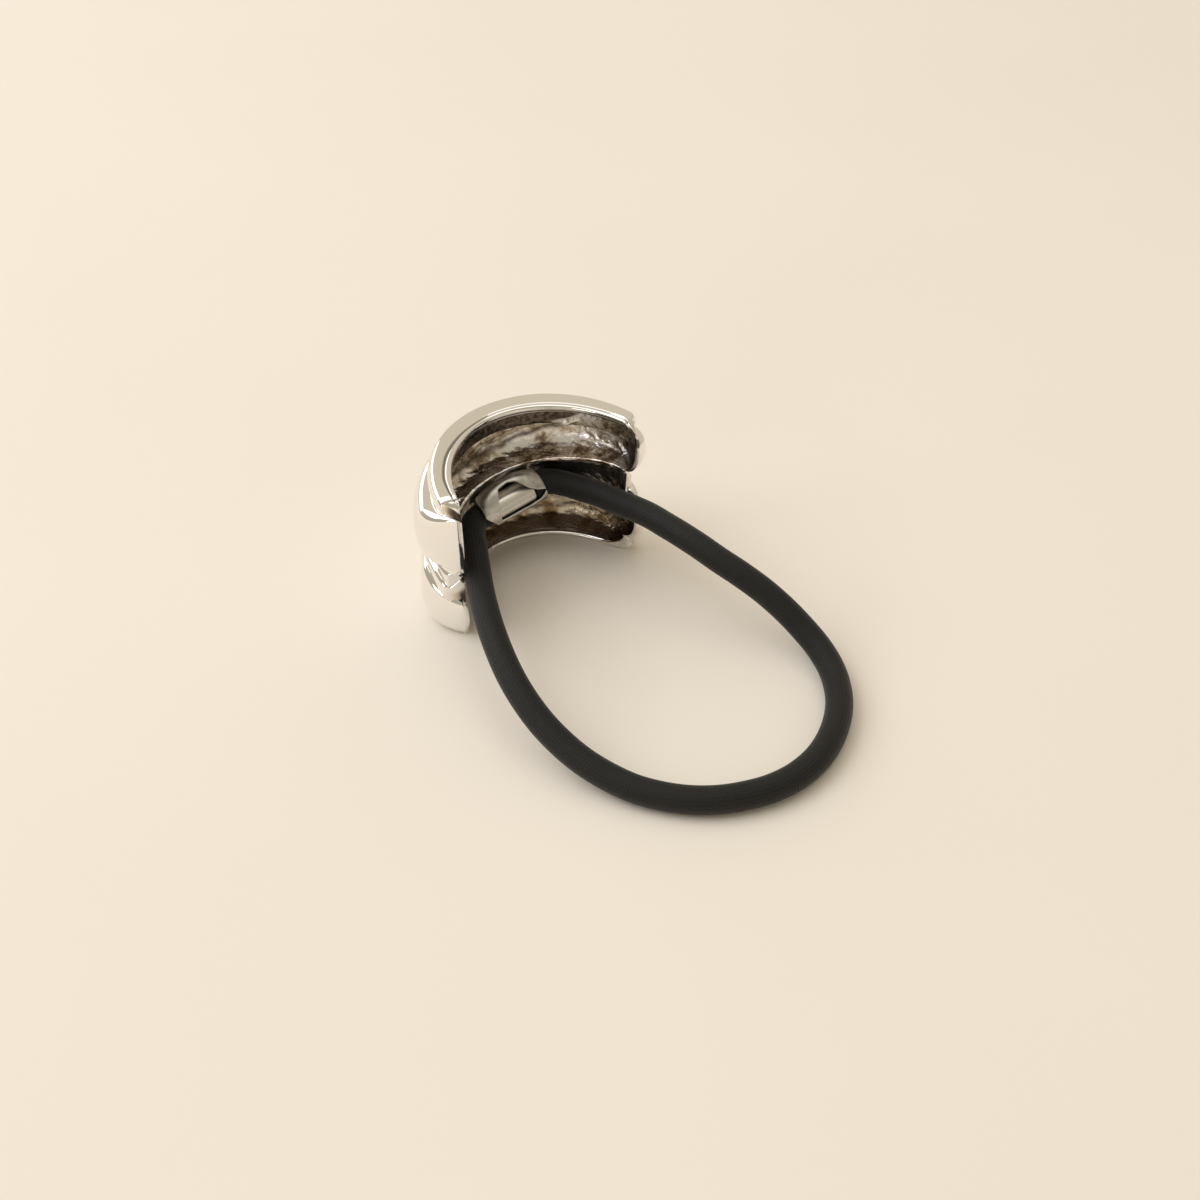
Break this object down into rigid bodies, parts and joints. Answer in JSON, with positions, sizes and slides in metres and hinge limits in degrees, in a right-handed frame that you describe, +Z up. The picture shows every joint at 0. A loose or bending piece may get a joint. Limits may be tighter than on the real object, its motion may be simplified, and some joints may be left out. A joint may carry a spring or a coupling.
{
  "type": "ponytail cuff",
  "caption": "C-shaped cast metal ponytail cuff with puffed ribs and a round black hair elastic held in a folded clamp on its hollow back.",
  "frame": {"origin": "middle of the box round the metal cuff's footprint, on the surface that it stands on", "axes": "+X across the C towards its right arm, -Y out of the open side of the C towards the elastic's loop, +Z up"},
  "size_m": [0.0487, 0.0772, 0.0274],
  "materials": {
    "cast_silver": "bright polished silver plate outside, rough dark as-cast shine inside",
    "folded_sheet": "dull hand-folded sheet with soft scratches",
    "ferrule_metal": "satin drawn tube",
    "black_elastic": "smooth tight-knit elastic with a faint sheen"
  },
  "bodies": {
    "root": {"cuff": "cast_silver", "elastic_clamp": "folded_sheet", "ferrule": "ferrule_metal", "elastic": "black_elastic"}
  },
  "joints": []
}
